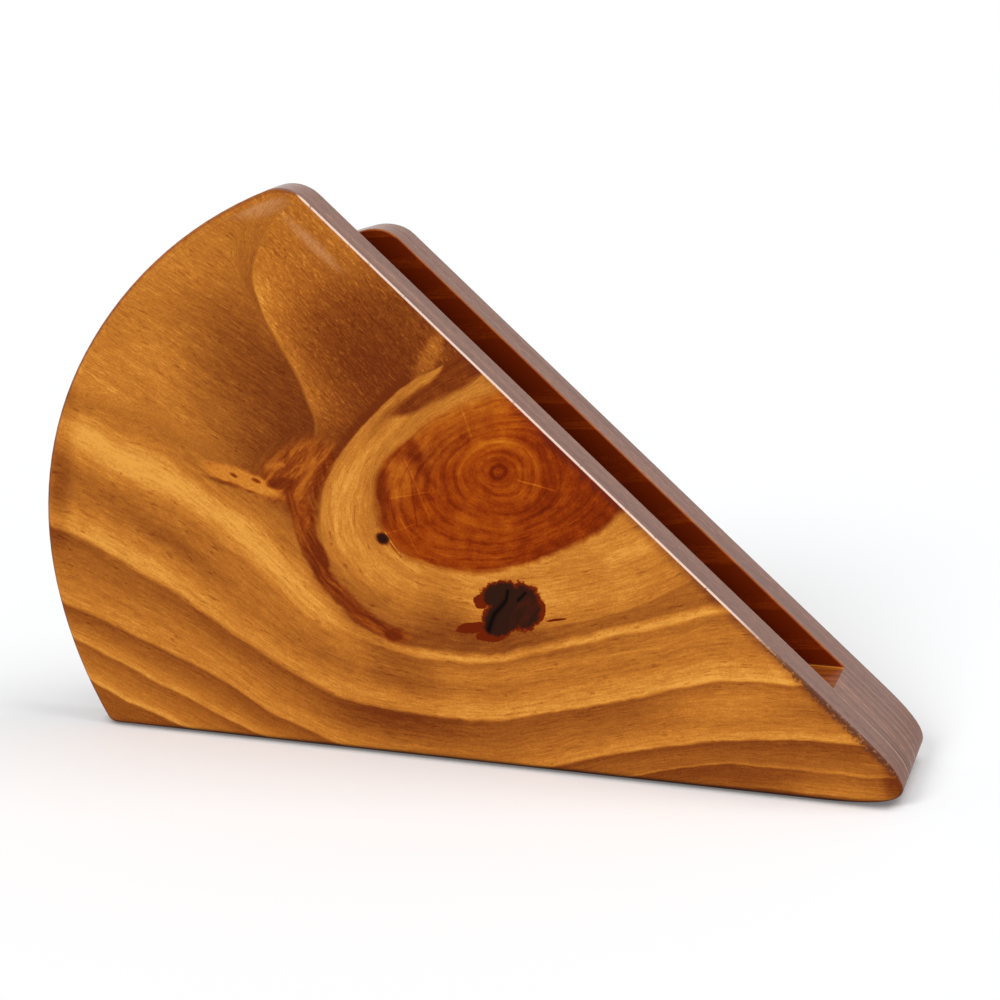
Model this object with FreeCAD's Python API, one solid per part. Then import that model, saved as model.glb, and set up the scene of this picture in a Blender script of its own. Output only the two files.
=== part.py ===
import FreeCAD, Part
import math
import os

# Napkin holder: two sector-shaped pine boards with a block of pine glued between
# them along the base. The napkins stand on the block, in the open slot above it.
# Millimetres. +X runs along the base to the pointed toe, +Y from the front board
# to the back board, +Z up. The origin is under the middle of the holder, on the
# surface that it stands on.

# ---- Stock ---------------------------------------------------------------------
board_thickness = 10.0
slot_width = 14.6              # clear gap between the boards, filled below by the block
block_height = 23.2            # from the base to the floor of the slot

# ---- Outline of the front board, x from the back of the belly, z from the base ----
toe_reach = 211.6              # where the slope's line meets the base
slope_angle = 41.3             # degrees from the base
belly_radius = 80.2
belly_height = 48.4            # height of the belly's centre
crown_radius = 95.6            # flatter arc above the belly
crown_start = 149.1            # degrees round the belly where the crown takes over
heel_radius = 101.4            # flatter arc below the belly
heel_start = 190.4             # degrees round the belly where the heel takes over

# ---- Corners of the outline ------------------------------------------------------
peak_round = 9.2               # top corner, between the crown and the slope
heel_round = 3.0               # corner between the heel and the base
nose_on_slope = 24.3           # how far up the slope the toe's soft nose begins
nose_on_base = 27.7            # how far along the base it ends
nose_pull_slope = 0.294        # the nose's fullness: pole distance as a share of each run
nose_pull_base = 0.154

# ---- Smaller back board ------------------------------------------------------------
back_setback = 15.8            # the back board's arc runs this far inside the front one

# ---- Edges ---------------------------------------------------------------------------
face_round = 2.3               # router round-over on the outer faces
slope_round = 0.5              # the same edge along the slope, left nearly crisp
slot_ease = 0.6                # edges sanded by hand where they border the open slot

# ---- Dowel pins, pressed and glued through the block into both boards ---------------
dowel_diameter = 6.0
dowel_in_board = 6.0           # how deep a pin goes into each board
dowel_from_heel = 34.0         # first pin, from the heel end of the block
dowel_from_toe = 48.0          # last pin, from where the slope's line meets the base
dowel_chamfer = 0.8
glue_gap = 0.05                # round a pin
glue_pocket = 0.5              # past each end of a pin
flute_count = 8
flute_radius = 0.5
flute_bite = 0.3               # depth of a flute in the pin's side

# ---- Places that follow from the sizes ----------------------------------------------
half_slot = slot_width / 2.0
half_width = half_slot + board_thickness
slope = math.radians(slope_angle)
up_slope = FreeCAD.Vector(-math.cos(slope), 0.0, math.sin(slope))
sharp_toe = FreeCAD.Vector(toe_reach, 0.0, 0.0)
belly_centre = FreeCAD.Vector(belly_radius, 0.0, belly_height)
ACROSS = FreeCAD.Vector(0.0, 1.0, 0.0)
SAME_PLACE = 1e-4              # two points closer than this are one point


def on_circle(centre, radius, degrees):
    """Point on a circle in the upright plane, counted from +X towards +Z."""
    turn = math.radians(degrees)
    return centre + FreeCAD.Vector(radius * math.cos(turn), 0.0, radius * math.sin(turn))


def tangent_centre(radius, degrees):
    """Centre of the arc that leaves the belly without a kink at this angle."""
    return on_circle(belly_centre, belly_radius - radius, degrees)


def degrees_round(centre, point):
    """Angle of a point round a centre, from 0 to 360 degrees."""
    return math.degrees(math.atan2(point.z - centre.z, point.x - centre.x)) % 360.0


def arc_between(centre, radius, start, end):
    """Circular arc from one angle to the other, in degrees."""
    middle = (start + end) / 2.0
    points = [on_circle(centre, radius, turn) for turn in (start, middle, end)]
    return Part.Arc(*points).toShape()


def sharp_peak(centre, radius):
    """Upper point where the slope's line meets the crown's circle."""
    from_centre = sharp_toe - centre
    along = from_centre.dot(up_slope)
    reach = math.sqrt(along ** 2 - from_centre.dot(from_centre) + radius ** 2)
    return sharp_toe + up_slope * (reach - along)


def sharp_heel(centre, radius):
    """Point behind the centre where the heel's circle meets the base."""
    return FreeCAD.Vector(centre.x - math.sqrt(radius ** 2 - centre.z ** 2), 0.0, 0.0)


def nose():
    """Soft nose of the toe, from the base round to the slope, tangent to both."""
    base_end = sharp_toe - FreeCAD.Vector(nose_on_base, 0.0, 0.0)
    base_pole = sharp_toe - FreeCAD.Vector(nose_on_base * nose_pull_base, 0.0, 0.0)
    slope_pole = sharp_toe + up_slope * (nose_on_slope * nose_pull_slope)
    slope_end = sharp_toe + up_slope * nose_on_slope
    curve = Part.BezierCurve()
    curve.setPoles([base_end, base_pole, slope_pole, slope_end])
    return curve.toShape(), base_end, slope_end


def outline(setback):
    """Closed board outline. The setback draws in the arcs, not the slope or toe."""
    crown_centre = tangent_centre(crown_radius, crown_start)
    heel_centre = tangent_centre(heel_radius, heel_start)
    crown = crown_radius - setback
    heel = heel_radius - setback
    peak = sharp_peak(crown_centre, crown)
    heel_corner = sharp_heel(heel_centre, heel)
    toe, base_end, slope_end = nose()
    edges = [
        Part.LineSegment(heel_corner, base_end).toShape(),
        toe,
        Part.LineSegment(slope_end, peak).toShape(),
        arc_between(crown_centre, crown, degrees_round(crown_centre, peak), crown_start),
        arc_between(belly_centre, belly_radius - setback, crown_start, heel_start),
        arc_between(heel_centre, heel, heel_start, degrees_round(heel_centre, heel_corner)),
    ]
    return Part.Wire(Part.__sortEdges__(edges)), peak, heel_corner


def edges_across(solid, corner):
    """The edge that runs straight across the stock through one corner of the outline."""
    return [edge for edge in solid.Edges
            if all(math.hypot(end.X - corner.x, end.Z - corner.z) < SAME_PLACE
                   for end in edge.Vertexes)]


def edges_round_face(solid, y):
    """The loop of edges round the face that lies at this y."""
    return [edge for edge in solid.Edges
            if all(abs(end.Y - y) < SAME_PLACE for end in edge.Vertexes)]


def is_on_slope(corner):
    """Whether a corner of the outline lies on the slope's line."""
    away = corner.Point - sharp_toe
    return abs(away.x * up_slope.z - away.z * up_slope.x) < SAME_PLACE


def rounded_over(solid, y):
    """Solid with its edge rounded over round the face at this y.

    The round-over dies down to a crisp edge along the slope, through the peak and the nose.
    """
    radii = []
    for number, edge in enumerate(solid.Edges, start=1):
        ends = (edge.Vertexes[0], edge.Vertexes[-1])
        if all(abs(end.Y - y) < SAME_PLACE for end in ends):
            radii.append((number, *(slope_round if is_on_slope(end) else face_round
                                    for end in ends)))
    document = FreeCAD.newDocument()
    stock = document.addObject("Part::Feature", "stock")
    stock.Shape = solid
    softened = document.addObject("Part::Fillet", "softened")
    softened.Base = stock
    softened.Edges = radii
    document.recompute()
    shape = softened.Shape.copy()
    FreeCAD.closeDocument(document.Name)
    return shape


def shaped_blank(setback, y_low, thickness):
    """Stock cut to the outline, with its top corner and heel rounded."""
    wire, peak, heel_corner = outline(setback)
    blank = Part.Face(wire).extrude(ACROSS * thickness)
    blank.translate(ACROSS * y_low)
    blank = blank.makeFillet(peak_round, edges_across(blank, peak))
    return blank.makeFillet(heel_round, edges_across(blank, heel_corner))


def pin_places():
    """Centres of the dowel pins, by name, half-way up the block and across it."""
    block_heel = sharp_heel(tangent_centre(heel_radius, heel_start), heel_radius - back_setback)
    half_way_up = FreeCAD.Vector(0.0, 0.0, block_height / 2.0)
    return {
        "heel_dowel_pin": block_heel + FreeCAD.Vector(dowel_from_heel, 0.0, 0.0) + half_way_up,
        "toe_dowel_pin": sharp_toe - FreeCAD.Vector(dowel_from_toe, 0.0, 0.0) + half_way_up,
    }


def pin_holes():
    """Drilled holes for all the pins, through the block and blind in each board."""
    reach = half_slot + dowel_in_board + glue_pocket
    radius = dowel_diameter / 2.0 + glue_gap
    return [Part.makeCylinder(radius, 2.0 * reach, place - ACROSS * reach, ACROSS)
            for place in pin_places().values()]


def above_block():
    """All the space over the level of the slot's floor."""
    corner = FreeCAD.Vector(-toe_reach, -toe_reach, block_height)
    return Part.makeBox(3.0 * toe_reach, 2.0 * toe_reach, toe_reach, corner)


def side_board(setback, y_low, outer_y, inner_y):
    """One board: rounded over round its outer face, eased where it borders the slot.

    Beside the block the inner edges stay sharp, so the glued joint is flush.
    """
    board = shaped_blank(setback, y_low, board_thickness)
    board = rounded_over(board, outer_y)
    eased = board.makeFillet(slot_ease, edges_round_face(board, inner_y))
    beside_slot = eased.common(above_block())
    beside_block = board.cut(above_block())
    return beside_slot.fuse(beside_block).removeSplitter().cut(pin_holes())


def base_block():
    """Block between the boards, cut flush with the back board's outline and toe."""
    block = shaped_blank(back_setback, -half_slot, slot_width).cut(above_block())
    arrises = [edge for edge in block.Edges
               if all(abs(end.Z - block_height) < SAME_PLACE for end in edge.Vertexes)
               and abs(edge.Vertexes[0].Y - edge.Vertexes[-1].Y) > SAME_PLACE]
    return block.makeFillet(slot_ease, arrises).cut(pin_holes())


def dowel_pin(place):
    """Fluted dowel with chamfered ends, lying across the holder."""
    reach = half_slot + dowel_in_board
    radius = dowel_diameter / 2.0
    pin = Part.makeCylinder(radius, 2.0 * reach, place - ACROSS * reach, ACROSS)
    rims = [edge for edge in pin.Edges if edge.Closed]
    pin = pin.makeChamfer(dowel_chamfer, rims)
    flutes = []
    for index in range(flute_count):
        turn = 360.0 * index / flute_count
        centre = on_circle(place, radius + flute_radius - flute_bite, turn)
        flutes.append(Part.makeCylinder(flute_radius, 2.0 * reach, centre - ACROSS * reach, ACROSS))
    return pin.cut(flutes)


def save(name, shape, shift):
    """Write one sub-part, moved to the holder's origin, to parts/NAME.step."""
    solid = shape.Solids[0].copy()
    solid.translate(shift)
    solid.exportStep("parts/" + name + ".step")
    print(name, "valid" if solid.isValid() else "NOT VALID", round(solid.Volume, 1), "mm3")


os.makedirs("parts", exist_ok=True)

front_board = side_board(0.0, -half_width, -half_width, -half_slot)
back_board = side_board(back_setback, half_slot, half_width, half_slot)
extent = front_board.optimalBoundingBox()
to_origin = FreeCAD.Vector(-(extent.XMin + extent.XMax) / 2.0, 0.0, 0.0)

save("front_side_board", front_board, to_origin)
save("back_side_board", back_board, to_origin)
save("base_block", base_block(), to_origin)
for pin_name, pin_place in pin_places().items():
    save(pin_name, dowel_pin(pin_place), to_origin)
print("length", round(extent.XMax - extent.XMin, 2), "height", round(extent.ZMax, 2),
      "width", round(2.0 * half_width, 2))
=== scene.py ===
import functools
import math

import bpy
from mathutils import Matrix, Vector


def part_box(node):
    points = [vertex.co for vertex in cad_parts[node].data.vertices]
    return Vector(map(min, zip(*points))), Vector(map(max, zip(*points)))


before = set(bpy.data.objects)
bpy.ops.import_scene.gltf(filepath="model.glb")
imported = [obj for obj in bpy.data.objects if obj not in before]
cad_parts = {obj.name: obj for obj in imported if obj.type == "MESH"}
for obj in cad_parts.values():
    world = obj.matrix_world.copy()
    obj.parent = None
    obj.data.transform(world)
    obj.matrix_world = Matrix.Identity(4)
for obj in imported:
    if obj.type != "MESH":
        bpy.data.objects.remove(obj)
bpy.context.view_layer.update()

# ---- Corners of the boards and the block, in metres, read from model.glb -------------
FRONT_LOW, FRONT_HIGH = (Vector(corner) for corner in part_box("front_side_board"))
BACK_LOW, BACK_HIGH = (Vector(corner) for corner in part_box("back_side_board"))
BLOCK_LOW, BLOCK_HIGH = (Vector(corner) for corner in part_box("base_block"))

# ---- Shape of the boards and the block, in millimetres -------------------------------
MM = 1000.0                       # millimetres in a metre
BLOCK_TOP = 23.2                  # level top of the block, the floor of the slot
SLOPE_DEGREES = 41.3
SLOPE_FOOT = 110.4                # where the slope's line meets the base
FACE_ROUND = 2.3                  # round-over of the outer faces
SLOPE_ROUND = 0.5                 # the same edge along the slope

# ---- Camera ----------------------------------------------------------------------------
CAMERA_PLACE = (0.1628, -0.5248, 0.2086)
CAMERA_TURN = 16.74               # degrees to the left
CAMERA_DIP = 15.21                # degrees down
CAMERA_LENS = 89.72               # mm
SENSOR_WIDTH = 36.0               # mm
CAMERA_SHIFT_UP = -0.007          # of the sensor's width

# ---- Floor and light -------------------------------------------------------------------
FLOOR_HALF = 1.6                  # m
# The floor's colour is painted darker near the wood, as painted contact shade.
FLOOR_SHADE_REACH = 0.004         # m from the wood, within which the floor darkens
FLOOR_SHADE = ((0.26, (.10, .06, .045)), (0.44, (.64, .60, .58)), (0.58, (.850, .862, .872)))
FLOOR_GLOW = 0.16                 # white added to the floor where it is seen
WORLD_LIGHT = 0.42                # strength of the white studio where it lights the wood
# Each sun: where it comes from, its light on a surface that faces it, spread in degrees.
SUNS = {"Key light": ((-0.45, -1.0, 0.75), 0.50, 25.0),
        "Overhead light": ((0.55, 0.12, 1.0), 0.33, 40.0)}


# ======================================================================================
# Numbers that change over the wood
# ======================================================================================

class Value:
    """A number that changes over a surface: what one shader node puts out."""

    def __init__(self, socket):
        self.socket = socket

    @property
    def tree(self):
        return self.socket.id_data

    def __add__(self, other):
        return arithmetic("ADD", self, other)

    __radd__ = __add__

    def __sub__(self, other):
        return arithmetic("SUBTRACT", self, other)

    def __rsub__(self, other):
        return arithmetic("SUBTRACT", other, self)

    def __mul__(self, other):
        return arithmetic("MULTIPLY", self, other)

    __rmul__ = __mul__

    def __truediv__(self, other):
        return arithmetic("DIVIDE", self, other)


def feed(socket, part):
    """Link a value into a socket, or set the socket to a plain number."""
    if isinstance(part, Value):
        part.tree.links.new(part.socket, socket)
    else:
        socket.default_value = part


def arithmetic(operation, *parts, clamp=False):
    """One Math node on the parts, at least one of which is a Value."""
    tree = next(part.tree for part in parts if isinstance(part, Value))
    node = tree.nodes.new("ShaderNodeMath")
    node.operation = operation
    node.use_clamp = clamp
    for socket, part in zip(node.inputs, parts):
        feed(socket, part)
    return Value(node.outputs[0])


def clamped(part):
    return arithmetic("ADD", part, 0.0, clamp=True)


def least(a, b):
    return arithmetic("MINIMUM", a, b)


def most(a, b):
    return arithmetic("MAXIMUM", a, b)


def size_of(part):
    return arithmetic("ABSOLUTE", part)


def length(a, b):
    return arithmetic("SQRT", a * a + b * b)


def bell(part):
    """1 where the part is zero, falling off smoothly on both sides."""
    return arithmetic("EXPONENT", part * part * -0.5)


def rise(low, high, part):
    """0 below low, 1 above high, and a smooth step between them."""
    node = part.tree.nodes.new("ShaderNodeMapRange")
    node.interpolation_type = "SMOOTHSTEP"
    feed(node.inputs["Value"], part)
    feed(node.inputs["From Min"], low)
    feed(node.inputs["From Max"], high)
    return Value(node.outputs["Result"])


def fall(low, high, part):
    """1 below low, 0 above high, and a smooth step between them."""
    return 1.0 - rise(low, high, part)


def blend(a, b, share):
    """a where the share is 0, b where it is 1."""
    node = share.tree.nodes.new("ShaderNodeMix")
    node.data_type = "FLOAT"
    feed(node.inputs[0], share)
    feed(node.inputs[2], a)
    feed(node.inputs[3], b)
    return Value(node.outputs[0])


def drawn(part, points, straight=False):
    """Height of a line drawn through given points over the part, smooth or in straight runs."""
    node = part.tree.nodes.new("ShaderNodeFloatCurve")
    mapping = node.mapping
    mapping.use_clip = False
    line = mapping.curves[0]
    line.points[0].location = points[0]
    line.points[-1].location = points[-1]
    for point in points[1:-1]:
        line.points.new(*point)
    for point in line.points:
        point.handle_type = "VECTOR" if straight else "AUTO_CLAMPED"
    mapping.update()
    feed(node.inputs["Value"], part)
    return Value(node.outputs["Value"])


def parts_of(socket):
    """The three parts of a vector."""
    tree = socket.id_data
    node = tree.nodes.new("ShaderNodeSeparateXYZ")
    tree.links.new(socket, node.inputs[0])
    return tuple(Value(output) for output in node.outputs)


def noise(a, b, c=0.0, detail=2.0, roughness=0.5, distortion=0.0):
    """Smooth noise from 0 to 1 at the place (a, b, c)."""
    tree = next(part.tree for part in (a, b, c) if isinstance(part, Value))
    place = tree.nodes.new("ShaderNodeCombineXYZ")
    for socket, part in zip(place.inputs, (a, b, c)):
        feed(socket, part)
    node = tree.nodes.new("ShaderNodeTexNoise")
    tree.links.new(place.outputs[0], node.inputs["Vector"])
    node.inputs["Scale"].default_value = 1.0
    node.inputs["Detail"].default_value = detail
    node.inputs["Roughness"].default_value = roughness
    node.inputs["Distortion"].default_value = distortion
    return Value(node.outputs[0])


def turned(x, z, centre_x, centre_z, degrees):
    """The place seen from a centre, along and across axes turned by some degrees."""
    turn = math.radians(degrees)
    dx = x - centre_x
    dz = z - centre_z
    along = dx * math.cos(turn) + dz * math.sin(turn)
    across = dz * math.cos(turn) - dx * math.sin(turn)
    return along, across


def oval(x, z, centre_x, centre_z, half_length, half_width, degrees=0.0):
    """1 on the edge of an oval, less inside it and more outside."""
    along, across = turned(x, z, centre_x, centre_z, degrees)
    return length(along / half_length, across / half_width)


def patch(x, z, centre_x, centre_z, half_length, half_width, degrees=0.0, soft=0.25):
    """1 inside an oval, 0 outside it, with a soft edge."""
    return fall(1.0 - soft, 1.0 + soft,
                oval(x, z, centre_x, centre_z, half_length, half_width, degrees))


def scratch(x, z, start, end, half_width):
    """1 on a straight line between two places, falling off at its sides and ends."""
    (start_x, start_z), (end_x, end_z) = start, end
    half = math.dist(start, end) / 2.0
    degrees = math.degrees(math.atan2(end_z - start_z, end_x - start_x))
    along, across = turned(x, z, (start_x + end_x) / 2.0, (start_z + end_z) / 2.0, degrees)
    return bell(across / half_width) * fall(half * 0.8, half * 1.1, size_of(along))


def band(part, low, high, soft):
    """1 between low and high, with soft ends."""
    return rise(low, low + soft, part) * fall(high - soft, high, part)


def shaded(tone, x, z, shades, soft):
    """The tone with a soft oval shade for each row: shade, centre, half sizes and turn."""
    for shade, *place_and_size in shades:
        tone = tone + patch(x, z, *place_and_size, soft=soft) * shade
    return tone


def scratched(tone, x, z, scratches):
    """The tone with a scratch for each row: shade, start, end and half width."""
    for shade, start, end, half_width in scratches:
        tone = tone + scratch(x, z, start, end, half_width) * shade
    return tone


NUMBER = "NodeSocketFloat"
COLOUR = "NodeSocketColor"


class Group:
    """A shader node group over a place, with numbers as its other inputs.

    Its outputs are numbers, but for the one named Color.
    """

    def __init__(self, name, inputs, outputs):
        self.tree = bpy.data.node_groups.new(name, "ShaderNodeTree")
        self.tree.interface.new_socket("Place", in_out="INPUT", socket_type="NodeSocketVector")
        for label, default in inputs:
            socket = self.tree.interface.new_socket(label, in_out="INPUT", socket_type=NUMBER)
            socket.default_value = default
        for label in outputs:
            kind = COLOUR if label == "Color" else NUMBER
            self.tree.interface.new_socket(label, in_out="OUTPUT", socket_type=kind)
        self.given = self.tree.nodes.new("NodeGroupInput")
        self.results = self.tree.nodes.new("NodeGroupOutput")

    def value(self, label):
        return Value(self.given.outputs[label])

    def place(self):
        """The three parts of the place, in metres."""
        return parts_of(self.given.outputs["Place"])

    def place_in_mm(self):
        x, y, z = self.place()
        return x * MM, y * MM, z * MM

    def give(self, label, part):
        feed(self.results.inputs[label], part)


def ramp(part, stops):
    """Colours over a value, from a list of places and colours."""
    node = part.tree.nodes.new("ShaderNodeValToRGB")
    feed(node.inputs[0], part)
    elements = node.color_ramp.elements
    elements[0].position, elements[-1].position = stops[0][0], stops[-1][0]
    for place, _ in stops[1:-1]:
        elements.new(place)
    for element, (_, colour) in zip(elements, stops):
        element.color = (*colour, 1.0)
    return Value(node.outputs[0])


def blend_colours(a, b, share):
    """Colour a where the share is 0, b where it is 1."""
    node = share.tree.nodes.new("ShaderNodeMix")
    node.data_type = "RGBA"
    feed(node.inputs[0], share)
    for socket, part in ((node.inputs[6], a), (node.inputs[7], b)):
        feed(socket, part if isinstance(part, Value) else (*part, 1.0))
    return Value(node.outputs[2])


# ======================================================================================
# The figure of the front board, in millimetres on its face
# ======================================================================================

# An oval is written as its centre (x, z), its half length and half width, and its turn
# in degrees.

# How far the figure shifts along and down per mm of depth, and how it wavers.
LEAN_ALONG, LEAN_DOWN = 0.15, 0.2
SLOW_WAVES, RAGGED_WAVES = 0.06, 0.35    # per mm
SWAY_ALONG, SWAY_UP = 2.0, 2.4           # mm

# Lower edges of the light bands, from the heel (-X) to the toe: (x, z).
BAND_LINES = (
    ((-100, 14.5), (-84, 7), (-76, 4.2), (-70, 2), (-60, -1.5), (-40, -8), (0, -16), (40, -5),
     (60, 1), (104, 2)),
    ((-100, 22.6), (-90, 18.5), (-70, 10.3), (-50, 2), (-20, -7), (0, -9.5), (20, -7), (40, 1),
     (50, 4), (65, 6.9), (90, 6.6), (104, 8)),
    ((-100, 30), (-80, 23.4), (-60, 15.0), (-40, 5.4), (-18, -1.8), (0, -3.2), (20, 0.4),
     (40, 7.2), (60, 11.6), (82, 13.9), (104, 13)),
    ((-100, 47.5), (-90, 44), (-70, 34.6), (-50, 23), (-30, 13.6), (-10, 10.8), (10, 11.4),
     (20, 13.7), (40, 19.4), (60, 25.2), (78, 27), (104, 28)),
    ((-100, 74), (-80, 65), (-70, 61.5), (-50, 48), (-30, 31.5), (-20, 27.3), (0, 24.4),
     (20, 28.6), (40, 35.4), (60, 41.4), (80, 46)),
)
LOWEST_LAYER = 8.0                # mm, the layer under the first line
UPPER_LAYER = 25.0                # mm, the layer over the last line

# Tone over the layers, on the toe's side and on the heel's side.
TOE_SIDE_TONES = ((-1, .32), (-.03, .22), (.04, .50), (.5, .34), (.97, .20), (1.03, .66),
                  (1.15, .46), (1.5, .42), (1.97, .20), (2.03, .84), (2.25, .64), (2.6, .44),
                  (2.97, .26), (3.02, .86), (3.25, .78), (3.5, .58), (3.7, .66), (3.94, .50),
                  (4.01, .97), (4.05, .80), (4.09, .44), (4.3, .46), (5, .44))
HEEL_SIDE_TONES = ((-1, .40), (-.03, .32), (.04, .92), (.3, .66), (.7, .50), (.97, .34),
                   (1.04, .82), (1.3, .64), (1.6, .44), (1.96, .26), (2.04, .78), (2.3, .66),
                   (2.6, .52), (2.85, .34), (2.98, .24), (3.04, .80), (3.16, .76), (3.3, .54),
                   (3.45, .48), (3.62, .52), (3.76, .60), (3.88, .82), (4.0, .94),
                   (4.08, .90), (4.18, .72), (4.32, .56), (4.5, .50), (5, .46))

# Light ridge between the brown bay and the cross-grained wood: (z, x).
RIDGE = ((62, -36.5), (70, -34.6), (76, -33), (83, -35), (94.5, -41), (103, -45.4),
         (111, -47.3), (119, -44.5), (127, -39), (136, -33))

# Soft shades: how much lighter or darker, and an oval.
BAND_SHADES = ((-.26, -13, 20, 9, 5, -20), (-.24, -16, 8.5, 15, 3.8, -4),
               (.10, -47, 50, 11, 4, -42), (-.20, -96, 70, 12, 3.0, 84),
               (-.16, -98, 52, 10, 2.6, 84), (-.06, 72, 10.4, 20, 2.6, 6),
               (.07, -84, 68, 17, 6, -22), (.28, 64, 22, 16, 4, 10), (.24, 88, 3.6, 9, 3, 4),
               (-.14, 62, 3, 12, 3.0, 0), (.10, -80, 43, 17, 7, -25),
               (-.26, 2, 29.6, 24, 3.0, 2), (-.16, -24, 33, 9, 4, -32),
               (-.14, -68, 46, 16, 2.2, -30), (.10, -52, 36, 15, 3, -36),
               (-.30, 99.5, 5.5, 2.2, 3.6, 20))
BAY_SHADES = ((-.10, -78, 103, 14, 8, 30), (-.06, -60, 80, 24, 9, -14))
CROSS_SHADES = ((-.16, -20, 89, 12, 9, -30),)

# Swirl: its fan of flames, its orange patch, and its specks and dark flames, all ovals,
# and its light flames from end to end.
FAN = (-37.2, 66.2, 10.8, 6.4, 30.0)
ORANGE_PATCH = (-51.0, 62.9, 9.8, 2.2, -16.0)
SPECKS = ((-53.0, 63.8, 0.9, 0.35, -22.0), (-47.6, 63.0, 1.1, 0.45, -20.0),
          (-48.8, 60.0, 1.5, 0.35, -16.0))
DARK_FLAMES = ((-41.5, 62.9, 3.4, 1.3, 8.0), (-55.5, 62.0, 4.4, 0.5, -14.0))
LIGHT_FLAMES = (((-45.5, 66.4), (-40.5, 67.6)), ((-37.5, 60.5), (-33.0, 69.0)))
FLAME_HALF_WIDTH = 0.6

# Ring of light wood round the big knot: its oval, its lower edge on the toe's side as
# (x, z), and both edges of the dark wedge that splits it at the top.
RING = (25.0, 70.1, 60.8, 33.2, 21.5)
RING_FOOT = ((0, 33.5), (10, 33.4), (20, 34.6), (30, 36.6), (40, 39.4), (50, 43.2), (60, 48.5))
WEDGE_TOP = ((-22, 79), (-18, 80.6), (-14, 83), (-10, 85.7), (-6, 88.8), (-3.5, 92), (-2, 97),
             (0, 101))
WEDGE_FOOT = ((-22, 76.5), (-16, 79.2), (-10, 80.8), (-5, 83.8), (0, 86.6), (5, 90.2), (9, 93))

# Big knot: the two ovals that cover it together, its pith, the ring next to the pith,
# and scratches in the lacquer over it, each with a shade, two ends and a half width.
KNOT = (12.1, 68.0, 33.7, 19.6, 22.9)
KNOT_LEFT_END = (-6.0, 66.5, 15.0, 10.5, 35.0)
PITH_X, PITH_Z = 9.7, 69.0
PITH = (9.6, 69.0, 1.9, 1.4, 28.0)
PITH_RING = (10.2, 69.0, 8.4, 6.8, 4.0)
KNOT_SCRATCHES = ((.40, (14.0, 67.7), (23.0, 66.0), .11), (.22, (-16, 60.8), (-6, 63.5), .09),
                  (.22, (-13.5, 57.5), (-8.5, 48.5), .09), (.22, (-18, 52.5), (-9, 56.0), .09),
                  (.22, (-12.0, 71.0), (-6.0, 57.0), .09), (.22, (1, 84), (4, 76), .09),
                  (-.20, (-11.0, 69.0), (-9.0, 55.0), .12))

# Streak of bark on the left of the ring, along and across a line at 45 degrees, the
# island of wood between its two arms, and the place where the arms join.
STREAK = ((-76, 22), (-72, 15.8), (-68, 12.8), (-61, 9.4), (-57, 8.3), (-53.7, 7.3),
          (-48.9, 6.6), (-43.6, 6.6), (-38.2, 7.2), (-33, 9.2), (-29, 11.4))
DIAGONAL = 0.7071                 # sine of 45 degrees
ISLAND = (-36.2, 56.0, 5.4, 2.6, 100.0)
ARMS_JOIN = (-33.6, 47.0, 5.4, 2.4, -62.0)

# Pin knots beside the big knot and at the end of the streak, and scratches at the first.
PIN_KNOT = (-17.4, 51.6, 2.0, 1.6, -20.0)
PIN_SCRATCHES = ((.50, (-17.0, 53.5), (-13.3, 48.4), .11),
                 (-.60, (-15.6, 51.0), (-13.0, 47.9), .13))
STREAK_END = (-15.2, 29.2, 2.3, 1.6)

# Black knot and the resin that ran out of it as ovals, and cracks from end to end.
BLACK_KNOT = ((10.6, 41.0, 4.6, 3.4, 5.0), (15.3, 38.6, 4.4, 5.2, -8.0),
              (10.6, 35.6, 4.8, 3.6, 42.0))
RESIN_LOBES = ((5.6, 39.2, 1.9, 1.8, 0.0), (4.2, 33.0, 4.4, 1.3, 14.0), (8.2, 31.6, 3.8, 1.5, 8.0),
               (19.4, 38.4, 1.6, 2.8, 0.0), (23.5, 36.5, 2.6, 0.3, 10.0))
CRACKS = (((12.2, 42.9), (11.8, 39.6), .30), ((12.0, 40.4), (8.8, 36.2), .42),
          ((9.3, 37.2), (7.2, 32.3), .45), ((16.6, 42.4), (14.4, 40.0), .25))


def board_layers(x, z):
    """Growth layers of the lower face: a whole number on each band line."""
    heights = [drawn(x, line) for line in BAND_LINES]
    layers = least((z - heights[0]) / LOWEST_LAYER, 0.0)
    for low, high in zip(heights, heights[1:]):
        layers = layers + clamped((z - low) / (high - low))
    return layers + most(z - heights[-1], 0.0) / UPPER_LAYER, heights[-1]


def band_tone(x, z, layers, ragged):
    """Light and dark bands of the lower face."""
    toe_side = drawn(layers, TOE_SIDE_TONES, straight=True)
    heel_side = drawn(layers, HEEL_SIDE_TONES, straight=True)
    tone = blend(heel_side, toe_side, rise(-36, -12, x))
    return shaded(tone, x, z + ragged * 2.0, BAND_SHADES, soft=0.7)


def bay_tone(x, z, left_of_ridge, slow):
    """Brown bay on the left of the light ridge, darkest against it."""
    tone = 0.10 + 0.64 * rise(2, 38, left_of_ridge)
    tone = tone + 0.44 * rise(84, 116, z) * fall(12, 40, left_of_ridge)
    tone = tone + slow * 0.25
    tone = tone - bell((x + 62.5) / 7.5) * bell((z - 99.5) / 3.6) * 0.06
    return shaded(tone, x, z, BAY_SHADES, soft=0.8)


def cross_tone(x, z, left_of_ridge):
    """Cross-grained wood on the right of the ridge, lightest against it."""
    right_of_ridge = most(0.0 - left_of_ridge, 0.0)
    ridge_light = 0.52 * arithmetic("EXPONENT", right_of_ridge / -9.0)
    tone = 0.13 + ridge_light * blend(0.30, 1.0, fall(104, 119, z))
    tone = tone + 0.34 * rise(99, 121, z - (x + 28.0) * 0.5)
    tone = tone * blend(0.35, 1.0, rise(73, 84, z))
    return shaded(tone, x, z, CROSS_SHADES, soft=0.8)


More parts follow.
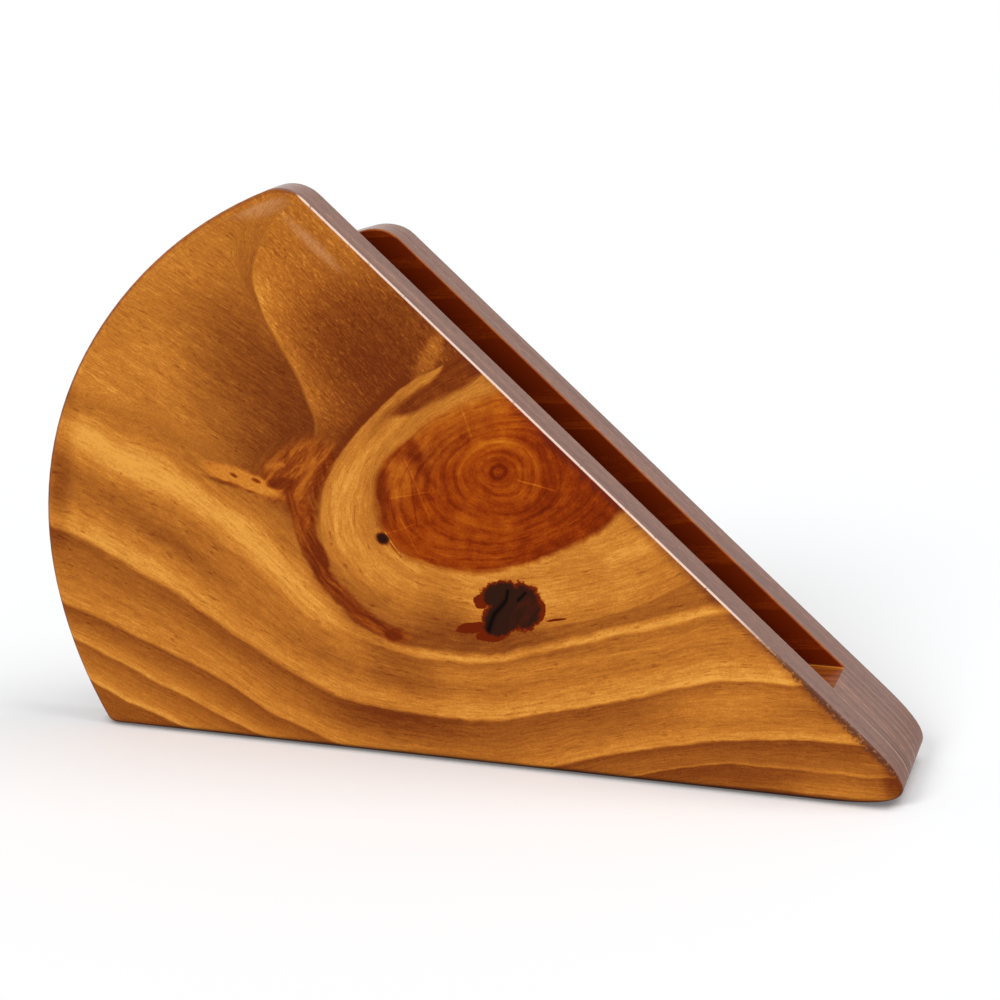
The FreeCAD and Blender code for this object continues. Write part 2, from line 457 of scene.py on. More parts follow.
def add_swirl(x, z, ragged, flame, fan, tone, heart):
    """Tone and heartwood with the swirl between the bay, the bands and the ring."""
    tone = blend(tone, blend(0.12, 0.56, flame), fan)
    heart = most(heart, fan * 0.45)
    orange = patch(x, z + ragged * 1.2, *ORANGE_PATCH)
    specks = functools.reduce(most, [patch(x, z, *speck, soft=0.6) for speck in SPECKS])
    tone = blend(tone, 0.86 - specks * 0.75, orange)
    heart = blend(heart, 0.42, orange)
    wide, narrow = DARK_FLAMES
    dark = most(patch(x, z + ragged, *wide), patch(x, z + ragged, *narrow, soft=0.8) * 0.8)
    light = most(*(scratch(x, z, *ends, FLAME_HALF_WIDTH) for ends in LIGHT_FLAMES))
    return blend(blend(tone, 0.04, dark), 0.66, light * 0.8), heart


def split_wedge(x, z):
    """1 in the dark wedge that splits the ring at the top, 0 outside it."""
    over_foot = z - drawn(x, WEDGE_FOOT)
    over_top = z - drawn(x, WEDGE_TOP)
    return rise(-0.6, 1.2, over_foot) * fall(-1.2, 0.8, over_top) * rise(-19, -12, x)


def ring_tone(x, z, inward, upper_left, wedge, slow, ragged):
    """Light wood of the ring; inward runs from 0 on its outer edge to 1 on the knot."""
    tone = blend(0.62, 0.80, rise(0.0, 0.5, inward)) + slow * 0.4
    tone = tone + patch(x, z, -25.0, 52.0, 6.0, 14.0, 20.0, soft=0.7) * 0.04
    tone = tone - bell((inward - 0.75) / 0.10) * 0.08
    under_knot = bell((z - 30.8) / 2.4) * band(x, -17, 26, 12) * 0.50
    beside_knot = bell((z - 37.5) / 2.6) * band(x, -26, 6, 8) * 0.16
    tone = tone - under_knot - beside_knot
    tone = tone - rise(0.40, 0.85, inward) * upper_left * 0.08
    tone = tone - patch(x, z, 42.5, 51.0, 15.0, 2.6, 24.0, soft=0.7) * 0.15
    tone = tone + patch(x, z, 31.0, 45.5, 22.0, 5.5, 22.0, soft=0.8) * 0.05
    tone = blend(tone, 0.10 + ragged * 0.5, wedge)
    return tone - patch(x, z, -18.5, 77.0, 4.5, 1.5, 46.0, soft=0.7) * 0.20


def knot_tone(x, z, knot, around, ragged):
    """Inside of the big knot: uneven rings round the pith, blotches and scratches."""
    waver = noise(x * 0.10, z * 0.10, 7.0, detail=3.0) - 0.5
    rings = arithmetic("SINE", around * 70.0 + waver * 8.0 + ragged * 2.0)
    uneven = rise(0.30, 0.62, noise(around * 5.0, x * 0.07, z * 0.10, detail=3.0))
    blotches = noise(x * 0.22, z * 0.22, 2.0, detail=4.0, roughness=0.6) - 0.5
    tone = 0.40 - fall(-0.9, 0.2, rings) * 0.15 * uneven + blotches * 0.85
    tone = tone + rise(73, 85, z - x * 0.2) * 0.26 - rise(10, 26, x) * 0.14
    tone = tone - rise(0.76, 0.98, knot) * rise(-60, -25, x - z) * 0.14
    tone = tone + bell((z - 51.0) / 3.0) * band(x, -12, 22, 8) * 0.03
    pith_ring = bell((oval(x, z, *PITH_RING) - 1.0) / 0.11)
    tone = tone + pith_ring * blend(0.10, 0.40, rise(69, 76, z))
    tone = tone + patch(x, z, -13.6, 66.0, 3.2, 4.6, 0.0, soft=0.5) * 0.26
    tone = tone - patch(x, z, -9.0, 71.5, 6.5, 1.7, -56.0, soft=0.6) * 0.22
    left_band = bell((x + 18.2) / 1.7) * band(z, 51, 71, 5.0)
    tone = blend(tone, 0.05, left_band * 0.9)
    pith = oval(x, z, *PITH) + ragged * 0.5
    tone = blend(tone, 0.0, bell((pith - 0.9) / 0.32) * 0.9)
    return scratched(tone, x, z, KNOT_SCRATCHES)


def bark_streak(x, z, outside_ring, ragged):
    """Where the streak of bark is, and its tone."""
    along = (x - z) * DIAGONAL
    off_streak = (x + z) * DIAGONAL - drawn(along, STREAK) + ragged * 1.2
    half_width = blend(1.3, 2.15, rise(-66, -56, along))
    left_arm = fall(0.50, 1.25, size_of(off_streak) / half_width) * band(along, -73, -27, 3.0)
    right_arm = band(outside_ring + ragged * 1.2, -0.1, 1.7, 0.8)
    right_arm = right_arm * band(z, 42, 73, 5.0) * fall(-20, -12, x)
    bark = most(most(left_arm, right_arm * 0.85), patch(x, z, *ARMS_JOIN))
    strands = noise(off_streak * 0.9, along * 0.10, 6.0, detail=3.0) - 0.5
    tone = 0.15 + strands * 1.5 + rise(-40, -30, along) * 0.14
    return bark, tone - rise(0.2, 1.6, off_streak) * 0.10


def build_front_figure():
    """Figure of the front board: light and dark bands that part round a big knot."""
    group = Group("Figure of the front board", [],
                  ("Tone", "Heartwood", "Char", "Crack", "Grain across", "Flecks and glints"))
    raw_x, raw_y, raw_z = group.place()
    depth = (raw_y - FRONT_LOW.y) * MM
    true_x = raw_x * MM + depth * LEAN_ALONG
    true_z = raw_z * MM - depth * LEAN_DOWN
    slow_x, slow_z = (noise(true_x * SLOW_WAVES, true_z * SLOW_WAVES, seed, detail=3.0) - 0.5
                      for seed in (3.0, 9.0))
    ragged = noise(true_x * RAGGED_WAVES, true_z * RAGGED_WAVES, 5.0, detail=3.0) - 0.5
    x = true_x + slow_x * SWAY_ALONG
    z = true_z + slow_z * SWAY_UP

    # Bands, with the bay and the cross-grained wood on the two sides of the ridge.
    layers, top_line = board_layers(x, z + ragged * 0.45)
    tone = band_tone(x, z, layers, ragged)
    left_of_ridge = drawn(z, RIDGE) - x
    bay_ends = z - top_line - (x + 60.0) * 0.10 + ragged * 3.0
    bay = rise(0.0, blend(0.9, 6.0, rise(100, 116, z)), left_of_ridge) * rise(11.0, 17.0, bay_ends)
    tone = blend(tone, bay_tone(x, z, left_of_ridge, slow_x), bay)
    cross = fall(-0.5, 0.3, left_of_ridge) * rise(69, 74, z)
    heart = cross * fall(88, 112, z + x * 0.5) * 0.14
    tone = blend(tone, cross_tone(x, z, left_of_ridge), cross)
    tone = blend(tone, 0.58, rise(104, 120, z) * fall(30, 55, left_of_ridge) * 0.75)

    # Swirl, with flames that fan up to the right.
    fan = patch(x, z, *FAN, soft=0.35)
    flames = noise((x - z * 0.75) * 0.62, (x + z) * 0.10, 4.0, detail=4.0, roughness=0.6,
                   distortion=0.5)
    flame = rise(0.36, 0.66, flames)
    tone, heart = add_swirl(x, z, ragged, flame, fan, tone, heart)

    # Ring round the big knot, with a soft dark line along its edge.
    ring = oval(x, z, *RING)
    under_right = rise(6, 18, x) * fall(60, 52, z)
    outside_ring = blend((ring - 1.0) * 33.0, (drawn(x, RING_FOOT) - z) * 0.95, under_right)
    in_ring = fall(-0.5, 0.0, outside_ring)
    round_knot = oval(x, z, *KNOT)
    knot = least(round_knot, oval(x, z, *KNOT_LEFT_END))
    inward = clamped((1.0 - ring) / (1.0 - ring + most(knot - 1.0, 0.0) * 0.6 + 0.001))
    upper_left = rise(-4, 10, z - x - 70.0)
    wedge = split_wedge(x, z)
    ring_edge = band(z, 52, 96, 8) * fall(0, 8, x)
    tone = tone - bell((outside_ring - 0.5) / 0.7) * ring_edge * 0.22
    tone = blend(tone, ring_tone(x, z, inward, upper_left, wedge, slow_z, ragged), in_ring)
    tone = blend(tone, 0.62, patch(x, z, -6.2, 94.3, 6.8, 1.8, 62.0, soft=0.6) * 0.75)
    lower_edge = bell((outside_ring + 0.5) / 0.55) * rise(8, 22, x) * fall(58, 50, z)
    under_ring = band(outside_ring, 0.1, 2.9, 0.9) * rise(10, 22, x) * fall(58, 50, z)
    tone = tone + lower_edge * 0.12 - under_ring * 0.30
    heart = blend(heart, wedge * 0.25, in_ring)

    # Big knot, red at heart, with a soft dark line round its lower edge.
    from_pith = length((x - PITH_X) / 1.22, z - PITH_Z)
    around = blend(from_pith / 20.0, round_knot, rise(0.1, 0.8, round_knot))
    edge = knot + ragged * blend(0.06, 0.10, rise(10, 26, x))
    inside = fall(blend(0.94, 0.90, upper_left), 1.05, edge)
    tone = blend(tone, knot_tone(x, z, knot, around, ragged), inside)
    tone = tone - bell((edge - 1.0) / 0.03) * rise(-30, 0, x - z) * 0.10
    red = fall(blend(0.94, 0.88, upper_left), 1.04, edge)
    heart = blend(heart, blend(0.88, 0.70, upper_left), red)

    # Streak of bark, with the island of wood between its arms.
    island = patch(x, z + ragged, *ISLAND, soft=0.5)
    tone = blend(tone, blend(0.16, 0.50, flame), island)
    bark, bark_tone = bark_streak(x, z, outside_ring, ragged)
    tone = blend(tone, bark_tone, bark)
    heart = blend(blend(heart, 0.55, island), 0.48, bark)

    # Pin knots.
    from_pin = oval(x, z, *PIN_KNOT) + ragged * 0.9
    pin = fall(0.6, 1.15, from_pin)
    tone = scratched(blend(tone, 0.0, pin), x, z, PIN_SCRATCHES)
    heart = blend(heart, 0.3, pin)
    streak_end = fall(0.6, 1.2, oval(x, z, *STREAK_END) + ragged * 0.9)
    tone = blend(tone, 0.04, streak_end)
    heart = blend(heart, 0.6, streak_end)

    # Black knot, with resin round it and cracks through it.
    wobble = (noise(x * 0.50, z * 0.50, 8.0, detail=5.0, roughness=0.70) - 0.5) * 0.8
    core = functools.reduce(least, [oval(x, z, *lobe) for lobe in BLACK_KNOT])
    lobes = [oval(x, z, *lobe) for lobe in RESIN_LOBES]
    resin = fall(0.88, 1.04, functools.reduce(least, lobes, core * 0.86) + wobble)
    tone = blend(tone, wobble * 0.6 - 0.12, resin)
    heart = blend(heart, 0.85, resin)
    char = most(fall(0.86, 1.08, core + wobble * 0.9), fall(0.4, 1.0, from_pin) * 0.9)
    char = char * blend(1.0, 0.80, rise(0.44, 0.66, flames) * rise(11, 14, x))
    crack = functools.reduce(most, [scratch(x, z, *row) for row in CRACKS], pin * 0.5)

    # Which way the fine grain runs: across the layers, or across the ring or the knot.
    across = blend(layers * 14.0, z * 0.86 + x * 0.50, bay)
    across = blend(across, z * 0.70 + x * 0.72, cross)
    across = blend(across, z * 0.75 - x * 0.66, fan)
    across = blend(across, ring * 33.0, in_ring)
    across = blend(across, around * 20.0, inside)
    group.give("Tone", tone)
    group.give("Heartwood", heart)
    group.give("Char", char)
    group.give("Crack", crack)
    group.give("Grain across", across)
    group.give("Flecks and glints", most(bay * 0.35, cross) * (1.0 - in_ring))
    return group.tree


# ======================================================================================
# Figure of the back board and of the block
# ======================================================================================

def build_plain_figure():
    """Quiet figure of long bands that rise and fall slowly, with no knots."""
    group = Group("Figure of the plain wood",
                  [("Seed", 0.0), ("Spacing", 8.0), ("Slope", 0.1), ("Depth slope", 0.6)],
                  ("Tone", "Grain across"))
    x, y, z = group.place_in_mm()
    seed = group.value("Seed")
    swell = noise(x * 0.007, z * 0.018, seed, detail=2.0) - 0.5
    fine = noise(x * 0.022, z * 0.10, seed + 4.0, detail=3.0) - 0.5
    stretch = noise(z * 0.045, seed, 6.0, detail=1.0) - 0.5
    height = z - x * group.value("Slope") + y * group.value("Depth slope")
    height = height + swell * 46.0 + stretch * 22.0 + fine * 2.2
    layers = height / group.value("Spacing") + 20.0
    within = arithmetic("FRACT", layers)
    uneven = noise(arithmetic("FLOOR", layers) * 3.7, seed, 2.0, detail=0.0)
    deep = rise(0.34, 0.62, uneven)
    tone = blend(0.74, blend(0.54, 0.36, deep), rise(0.0, 0.80, within))
    tone = tone - rise(0.78, 0.97, within) * blend(0.04, 0.16, deep)
    tone = blend(blend(0.46, 0.26, deep), tone, rise(0.0, 0.10, within)) + (uneven - 0.5) * 0.4
    group.give("Tone", tone)
    group.give("Grain across", layers * 9.0)
    return group.tree


# ======================================================================================
# Stain, sawn edges, and the marks, painted highlights and painted shade at a board's edges
# ======================================================================================

# Colours from the darkest tone to the lightest.
STAIN = ((0.0, (.16, .030, .005)), (0.25, (.26, .066, .009)), (0.5, (.40, .122, .016)),
         (0.75, (.585, .205, .026)), (1.0, (.81, .36, .060)))
HEARTWOOD = ((0.0, (.15, .012, .0006)), (0.25, (.25, .024, .0008)), (0.5, (.375, .056, .0015)),
             (0.75, (.49, .106, .003)), (1.0, (.62, .178, .009)))
EDGE_GRAIN = ((0.0, (.09, .026, .014)), (0.35, (.19, .070, .040)), (0.65, (.28, .114, .064)),
              (1.0, (.52, .250, .125)))
BEECH_WOOD = ((0.0, (.36, .20, .10)), (0.6, (.56, .36, .20)), (1.0, (.68, .48, .30)))
CHARRED = (0.030, 0.0095, 0.0050)
CRACK = (0.004, 0.002, 0.002)
JOINT_LINE = (0.05, 0.020, 0.014)

# Marks of a board, with painted highlights, painted sheen and painted shade among them, in the
# order they lie over each other:
# colour and cover. The painted sheen at the corner and the joint's two marks also have a share that
# is given with each board.
EDGE_MARKS_AND_PAINTED_LIGHT = {"Painted highlight on the round-over": ((0.60, 0.27, 0.07), 0.25),
             "Painted highlight on the arris": ((0.95, 0.72, 0.60), 0.9),
             "Rough rim": ((0.115, 0.034, 0.014), 0.85),
             "Chips": ((0.33, 0.14, 0.055), 0.8),
             "Painted highlight on the inner edge": ((0.40, 0.12, 0.03), 0.5),
             "Painted sheen at the corner": ((0.66, 0.33, 0.15), 1.0),
             "Painted highlight beside the joint": ((0.42, 0.24, 0.15), 0.9),
             "Joint": (JOINT_LINE, 1.0),
             "Painted shade at the foot": ((0.045, 0.016, 0.008), 0.85)}


def build_stain():
    """Stain on pine: tone and heartwood to colour, with fine grain, flecks and painted glints."""
    group = Group("Stained pine",
                  [("Tone", 0.5), ("Heartwood", 0.0), ("Char", 0.0), ("Crack", 0.0),
                   ("Grain across", 0.0), ("Flecks and glints", 0.0), ("Darker", 0.0)],
                  ("Color", "Roughness", "Height"))
    x, y, z = group.place_in_mm()
    across = group.value("Grain across")
    flecks_and_glints = group.value("Flecks and glints")
    heart = group.value("Heartwood")
    char = group.value("Char")
    crack = group.value("Crack")
    streaks = noise(across * 0.9, x * 0.03, z * 0.03 + y * 0.3, detail=5.0, roughness=0.68)
    run = blend(0.20, 0.50, flecks_and_glints)
    fibres = noise(across * (2.3 + flecks_and_glints), x * run, z * run + y * 0.9, detail=5.0, roughness=0.75)
    pores = noise(across * 2.2 + 40.0, x * run * 1.4, z * run * 1.4 + y, detail=2.0)
    grit = noise(x * 2.4, y * 2.4, z * 2.4, detail=3.0, roughness=0.7)
    mottle = noise(x * 0.28, y * 0.28, z * 0.28, detail=4.0, roughness=0.6)
    dark_pores = rise(0.58, 0.70, pores)
    light_pores_and_glints = fall(0.32, 0.42, pores)
    tone = group.value("Tone") + (streaks - 0.5) * 0.42 + (mottle - 0.5) * 0.16
    tone = tone + (fibres - 0.5) * (0.66 + flecks_and_glints * 0.40)
    tone = tone - dark_pores * rise(0.46, 0.60, mottle) * 0.26 * (1.0 - heart * 0.5)
    # Light pores, lighter still in the flecked wood as painted glints in the lacquer.
    tone = tone + light_pores_and_glints * (0.05 + flecks_and_glints * 0.16)
    tone = tone + (grit - 0.5) * 0.44 - group.value("Darker") * 0.30
    tone = clamped(tone)
    colour = blend_colours(ramp(tone, STAIN), ramp(tone, HEARTWOOD), heart)
    colour = blend_colours(colour, CHARRED, char)
    colour = blend_colours(colour, CRACK, crack)
    group.give("Color", colour)
    group.give("Roughness", 0.36 + (fibres - 0.5) * 0.15 + char * 0.2)
    group.give("Height", (fibres - 0.5) * 0.5 - dark_pores * 0.3 - crack * 2.0)
    return group.tree


def build_edge_grain():
    """Sawn and sanded edges: dark, with streaks that run along the edge."""
    group = Group("Edge grain", [("Lean", 0.0), ("Contrast", 0.9)], ("Color", "Height"))
    x, y, z = group.place_in_mm()
    side = y + x * group.value("Lean")
    streaks = noise(side * 0.42, x * 0.014, z * 0.014, detail=4.0, roughness=0.55)
    speckle = noise(side * 2.4, x * 0.55, z * 0.55, detail=4.0, roughness=0.7)
    tone = clamped(0.49 + (streaks - 0.5) * group.value("Contrast") + (speckle - 0.5) * 1.3)
    group.give("Color", ramp(tone, EDGE_GRAIN))
    group.give("Height", (streaks - 0.5) * 0.4 + (speckle - 0.5) * 0.3)
    return group.tree


def clear_of_floor(z):
    """How freely light reaches a place that is z mm over the floor."""
    return blend(0.25, 1.0, rise(3.0, 17.0, z))


def build_board_edges():
    """Where a board is rounded or sawn, and masks for the marks, painted highlights and painted
    shade at its edges.
    """
    group = Group("Edges of a board", [("Outer face", 0.0), ("Inner face", 0.0)],
                  ("Rounded", "Sawn", "Slot side", "Painted highlight on the arris", "Rough rim", "Chips", "Painted highlight on the round-over",
                   "Painted highlight on the inner edge", "Joint", "Painted highlight beside the joint", "Painted shade at the foot", "Painted sheen at the corner",
                   "Clear of the floor"))
    place_x, place_y, place_z = group.place()
    outer = size_of(place_y - group.value("Outer face")) * MM
    inner = size_of(place_y - group.value("Inner face")) * MM
    x, z = place_x * MM, place_z * MM
    slope = math.radians(SLOPE_DEGREES)
    from_slope = (SLOPE_FOOT - x) * math.sin(slope) - z * math.cos(slope)
    along_slope = (x - SLOPE_FOOT) * math.cos(slope) - z * math.sin(slope)
    worn = noise(along_slope * 0.5, outer * 0.4, from_slope * 0.4, detail=4.0, roughness=0.7)
    tatter = noise(along_slope * 0.9, outer, from_slope * 0.7, detail=4.0, roughness=0.75) - 0.5

    # The rounded edge of the outer face, and the sawn wood inside it.
    across_round = outer / blend(SLOPE_ROUND, FACE_ROUND, rise(0.8, 6.0, from_slope))
    rounded = rise(0.12, 0.34, across_round) * fall(0.80, 1.0, across_round)
    rounded = rounded * blend(1.0, 0.5, rise(90, 118, z))
    near_slope = fall(0.4, 2.9, from_slope + (worn - 0.5) * 1.6) * fall(0.0, 0.3, outer)
    group.give("Rounded", most(rounded, near_slope * 0.6 * rise(-165, -110, along_slope)))
    toe_half = rise(20, 40, x)
    below_slot = fall(BLOCK_TOP - 0.3, BLOCK_TOP + 0.2, z) * toe_half
    off_inner_face = most(rise(0.1, 0.45, inner), below_slot)
    group.give("Sawn", rise(0.75, 1.0, across_round) * off_inner_face)
    group.give("Slot side", fall(0.0, 0.3, inner))

    # Rims: a painted highlight on the arris along the slope's upper part, rough and chipped toward
    # the toe.
    arris = fall(0.30, 0.50, outer) * fall(0.30, 0.50, from_slope)
    toward_toe = rise(-62.0, -44.0, along_slope)
    group.give("Painted highlight on the arris", arris * rise(0.30, 0.44, worn) * blend(1.0, 0.15, toward_toe))
    reach = blend(0.5, 1.35, rise(-58, -30, along_slope))
    rough = fall(0.70, 1.30, (from_slope + tatter * 4.4) / reach) * rise(-66, -44, along_slope)
    chips = rise(0.56, 0.66, noise(along_slope * 1.1, outer * 1.5, from_slope * 1.5, detail=3.0))
    near_face = fall(0.6, 1.2, outer)
    group.give("Rough rim", rough * near_face * (1.0 - chips * 0.9))
    group.give("Chips", rough * chips * near_face)
    # A thin painted highlight on the face where the round-over starts, near the top.
    group.give("Painted highlight on the round-over", band(outer, 0.004, 0.07, 0.02) * rise(3.0, 6.0, from_slope)
               * rise(98.0, 112.0, z))
    # A painted highlight along the eased inner edge, above the slot's floor.
    group.give("Painted highlight on the inner edge", rise(0.02, 0.12, inner) * fall(0.35, 0.75, inner) * (1.0 - below_slot))

    # The joint with the block, with a painted highlight beside it, and painted shade along the
    # foot.
    joined = blend(0.35, 1.0, fall(8, 21, z)) * fall(BLOCK_TOP - 0.6, BLOCK_TOP, z) * toe_half
    group.give("Joint", fall(0.30, 0.60, inner) * joined)
    # A painted highlight on the near side of the joint's groove; the joint itself is a dark line.
    group.give("Painted highlight beside the joint", band(inner, 0.45, 1.7, 0.35) * joined)
    # Painted shade along the foot, where the board meets the floor.
    group.give("Painted shade at the foot", fall(0.6, 1.8, z) * rise(-80, -64, x) * fall(84, 100, x))
    group.give("Clear of the floor", clear_of_floor(z))

    # Painted sheen of the lacquer on both sides of the upper corner.
    corner = most(fall(0.1, 1.1, oval(x, z, -45.0, 125.4, 9.0, 2.8, 16.0) + tatter * 0.3),
                  fall(0.1, 1.1, oval(x, z, -32.8, 117.8, 11.0, 1.7, -41.0) + tatter * 0.3))
    streaky = rise(0.30, 0.62, noise((x + z) * 0.35, (z - x) * 1.6, 3.0, detail=3.0, roughness=0.7))
    group.give("Painted sheen at the corner", corner * rise(1.9, 2.7, from_slope + tatter * 0.8) * fall(0.0, 0.02, outer)
               * blend(0.35, 1.0, streaky))
    return group.tree


FRONT_FIGURE = build_front_figure()
PLAIN_FIGURE = build_plain_figure()
STAINED_PINE = build_stain()
EDGE_GRAINS = build_edge_grain()
BOARD_EDGES = build_board_edges()


# ======================================================================================
# Materials
# ======================================================================================

GRAIN_BUMP = 0.20                 # how strongly the grain shows in the lacquer
GRAIN_HEIGHT = 0.0002             # m
WOOD_SHINE = 0.01                 # specular level of the wood under the lacquer
LACQUER_ROUGHNESS = 0.18
BEECH_ROUGHNESS = 0.62
FLOOR_ROUGHNESS = 0.9
WHITE = (1.0, 1.0, 1.0, 1.0)


def new_material(name):
    """An empty material with a Principled shader and its output."""
    material = bpy.data.materials.new(name)
    material.use_nodes = True
    tree = material.node_tree
    tree.nodes.clear()
    shader = tree.nodes.new("ShaderNodeBsdfPrincipled")
    output = tree.nodes.new("ShaderNodeOutputMaterial")
    tree.links.new(shader.outputs[0], output.inputs["Surface"])
    return material, tree, shader


def place_on_piece(tree):
    """The place on the piece, in metres."""
    return tree.nodes.new("ShaderNodeTexCoord").outputs["Object"]


def use_group(group_tree, place, given):
    """Put a group in the tree of a place, feed it by name, and return its results by name."""
    tree = place.id_data
    node = tree.nodes.new("ShaderNodeGroup")
    node.node_tree = group_tree
    tree.links.new(place, node.inputs["Place"])
    for label, part in given.items():
        feed(node.inputs[label], part)
    return {output.name: Value(output) for output in node.outputs}


def lacquer(tree, shader, colour, roughness, height, coat):
    """Satin lacquer over a colour, with a little of the grain showing in it."""
    bump = tree.nodes.new("ShaderNodeBump")
    bump.inputs["Strength"].default_value = GRAIN_BUMP
    bump.inputs["Distance"].default_value = GRAIN_HEIGHT
    feed(bump.inputs["Height"], height)
    feed(shader.inputs["Base Color"], colour)
    feed(shader.inputs["Roughness"], roughness)
    feed(shader.inputs["Coat Weight"], coat)
    tree.links.new(bump.outputs[0], shader.inputs["Normal"])
    shader.inputs["Specular IOR Level"].default_value = WOOD_SHINE
    shader.inputs["Coat Roughness"].default_value = LACQUER_ROUGHNESS


def stained_board(name, figure, outer_face, inner_face, figure_numbers, joint_and_highlight_seen, painted_corner_sheen,
                  painted_slot_shade, painted_slot_red_bounce):
    """Stained and lacquered board with a given figure, darker round its edges.

    The inner face, which borders the slot, is painted darker and redder: painted shade of the slot
    and the red of light bounced in it.
    """
    material, tree, shader = new_material(name)
    place = place_on_piece(tree)
    grain = use_group(figure, place, figure_numbers)
    edges = use_group(BOARD_EDGES, place, {"Outer face": outer_face, "Inner face": inner_face})
    rounded, sawn, slot_side = edges["Rounded"], edges["Sawn"], edges["Slot side"]
    # The slot side gets painted shade and a painted red of bounced light.
    stain = use_group(STAINED_PINE, place, {
        **grain,
        "Heartwood": most(grain.get("Heartwood", 0.0), slot_side * painted_slot_red_bounce),
        "Darker": rounded * 1.5 + slot_side * painted_slot_shade})
    edge = use_group(EDGE_GRAINS, place, {})
    colour = blend_colours(stain["Color"], edge["Color"], sawn)
    shares = {"Painted sheen at the corner": painted_corner_sheen, "Painted highlight beside the joint": joint_and_highlight_seen, "Joint": joint_and_highlight_seen}
    for label, (mark, cover) in EDGE_MARKS_AND_PAINTED_LIGHT.items():
        colour = blend_colours(colour, mark, edges[label] * (cover * shares.get(label, 1.0)))
    height = blend(stain["Height"], edge["Height"], sawn)
    lacquer(tree, shader, colour, stain["Roughness"], height,
            0.02 + rounded * 0.20 + sawn * 0.56 * edges["Clear of the floor"])
    return material


def stained_block(name):
    """The block between the boards: plain figure, dark streaked slope and ends."""
    material, tree, shader = new_material(name)
    place = place_on_piece(tree)
    _, depth, height_up = parts_of(place)
    facing = tree.nodes.new("ShaderNodeNewGeometry").outputs["True Normal"]
    _, _, level = parts_of(facing)
    from_back = (BLOCK_HIGH.y - depth) * MM
    from_front = (depth - BLOCK_LOW.y) * MM
    z = height_up * MM
    grain = use_group(PLAIN_FIGURE, place,
                      {"Seed": 7.0, "Spacing": 3.4, "Slope": 0.0, "Depth slope": 1.0})
    tone = grain["Tone"] * 0.75 + band(from_back, 0.3, 1.5, 0.3) * 0.5
    stain = use_group(STAINED_PINE, place, {
        "Tone": tone, "Grain across": grain["Grain across"], "Darker": 0.5, "Heartwood": 0.25})
    edge = use_group(EDGE_GRAINS, place, {"Lean": 0.03, "Contrast": 1.7})
    sawn = fall(0.95, 0.99, level)
    colour = blend_colours(stain["Color"], edge["Color"], sawn)
    joint = fall(0.2, 0.5, from_front) * sawn * fall(7, 22, z)
    colour = blend_colours(colour, JOINT_LINE, joint * 0.85)
    height = blend(stain["Height"], edge["Height"], sawn)
    lacquer(tree, shader, colour, stain["Roughness"], height,
            0.1 + sawn * clear_of_floor(z) * 0.45)
    return material


def bare_beech(name):
    """Bare turned beech of the dowel pins: pale, with short brown rays."""
    material, tree, shader = new_material(name)
    x, y, z = (part * MM for part in parts_of(place_on_piece(tree)))
    rays = rise(0.60, 0.72, noise(x * 3.0, y * 0.8, z * 3.0, detail=2.0))
    tone = clamped(0.7 + (noise(x * 0.8, y * 0.08, z * 0.8, detail=3.0) - 0.5) * 0.6 - rays * 0.4)
    feed(shader.inputs["Base Color"], ramp(tone, BEECH_WOOD))
    shader.inputs["Roughness"].default_value = BEECH_ROUGHNESS
    return material


def dress(node_name, material):
    """Give a CAD node its finish."""
    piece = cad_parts[node_name]
    piece.data.materials.clear()
    piece.data.materials.append(material)


dress("front_side_board", stained_board(
    "Stained pine of the front board", FRONT_FIGURE, FRONT_LOW.y, FRONT_HIGH.y, {},
    joint_and_highlight_seen=0.8, painted_corner_sheen=0.55, painted_slot_shade=1.0, painted_slot_red_bounce=0.35))
dress("back_side_board", stained_board(
    "Stained pine of the back board", PLAIN_FIGURE, BACK_HIGH.y, BACK_LOW.y,
    {"Seed": 2.0, "Spacing": 10.5, "Slope": 0.12},
    joint_and_highlight_seen=0.25, painted_corner_sheen=0.0, painted_slot_shade=1.9, painted_slot_red_bounce=0.8))
dress("base_block", stained_block("Stained pine of the block"))
BEECH = bare_beech("Bare beech of the dowel pins")
dress("heel_dowel_pin", BEECH)
dress("toe_dowel_pin", BEECH)


# ======================================================================================
# Floor, lights and camera
# ======================================================================================

def seen_by(tree, *rays):
    """1 for the given kinds of ray, 0 for all others."""
    path = tree.nodes.new("ShaderNodeLightPath")
    first, *others = (Value(path.outputs[ray]) for ray in rays)
    return clamped(sum(others, first))


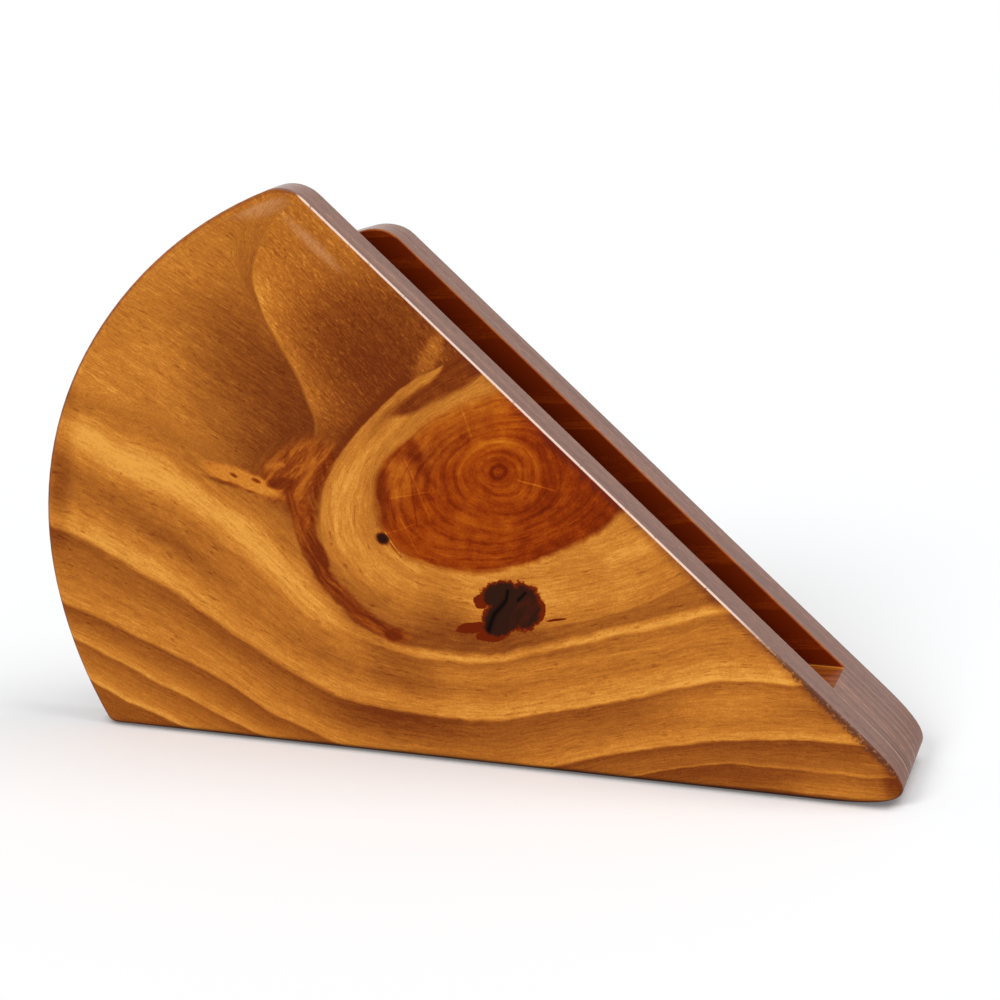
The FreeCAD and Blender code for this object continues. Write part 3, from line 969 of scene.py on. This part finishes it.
def make_floor():
    """White floor that keeps the holder's soft shadow, with painted contact shade where it is near
    the wood.
    """
    mesh = bpy.data.meshes.new("Studio floor")
    corners = [(x, y, 0.0) for x, y in ((-1, -1), (1, -1), (1, 1), (-1, 1))]
    mesh.from_pydata([Vector(corner) * FLOOR_HALF for corner in corners], [], [(0, 1, 2, 3)])
    floor = bpy.data.objects.new("studio_floor", mesh)
    bpy.context.scene.collection.objects.link(floor)
    material, tree, shader = new_material("White floor")
    # Painted contact shade: the floor's colour darkens where the wood hems it in.
    near = tree.nodes.new("ShaderNodeAmbientOcclusion")
    near.inputs["Color"].default_value = WHITE
    near.inputs["Distance"].default_value = FLOOR_SHADE_REACH
    near.samples = 4
    feed(shader.inputs["Base Color"], ramp(Value(near.outputs["AO"]), FLOOR_SHADE))
    shader.inputs["Roughness"].default_value = FLOOR_ROUGHNESS
    shader.inputs["Specular IOR Level"].default_value = 0.0
    shader.inputs["Emission Color"].default_value = WHITE
    seen = seen_by(tree, "Is Camera Ray", "Is Glossy Ray")
    feed(shader.inputs["Emission Strength"], seen * FLOOR_GLOW)
    mesh.materials.append(material)


def make_world():
    """White studio all round, plain in strength where it lights the wood."""
    world = bpy.data.worlds.new("White studio")
    bpy.context.scene.world = world
    world.use_nodes = True
    tree = world.node_tree
    tree.nodes.clear()
    background = tree.nodes.new("ShaderNodeBackground")
    background.inputs["Color"].default_value = WHITE
    output = tree.nodes.new("ShaderNodeOutputWorld")
    seen = seen_by(tree, "Is Camera Ray", "Is Glossy Ray", "Is Transmission Ray")
    feed(background.inputs["Strength"], WORLD_LIGHT + seen * (1.0 - WORLD_LIGHT))
    tree.links.new(background.outputs[0], output.inputs["Surface"])


def soft_sun(name, direction, share, spread):
    """Even light that comes from a direction; its share is what a facing surface gets."""
    light = bpy.data.lights.new(name, "SUN")
    light.energy = share * math.pi
    light.angle = math.radians(spread)
    lamp = bpy.data.objects.new(name, light)
    lamp.rotation_euler = Vector(direction).to_track_quat("Z", "Y").to_euler()
    bpy.context.scene.collection.objects.link(lamp)


def make_camera():
    """Camera a little above the holder, off to the side of its toe."""
    camera = bpy.data.cameras.new("Studio camera")
    camera.lens = CAMERA_LENS
    camera.sensor_width = SENSOR_WIDTH
    camera.shift_y = CAMERA_SHIFT_UP
    stand = bpy.data.objects.new("studio_camera", camera)
    stand.location = CAMERA_PLACE
    stand.rotation_euler = (math.radians(90.0 - CAMERA_DIP), 0.0, math.radians(CAMERA_TURN))
    bpy.context.scene.collection.objects.link(stand)
    bpy.context.scene.camera = stand


make_floor()
make_world()
for sun_name, sun in SUNS.items():
    soft_sun(sun_name, *sun)
make_camera()
bpy.context.scene.view_settings.view_transform = "Standard"
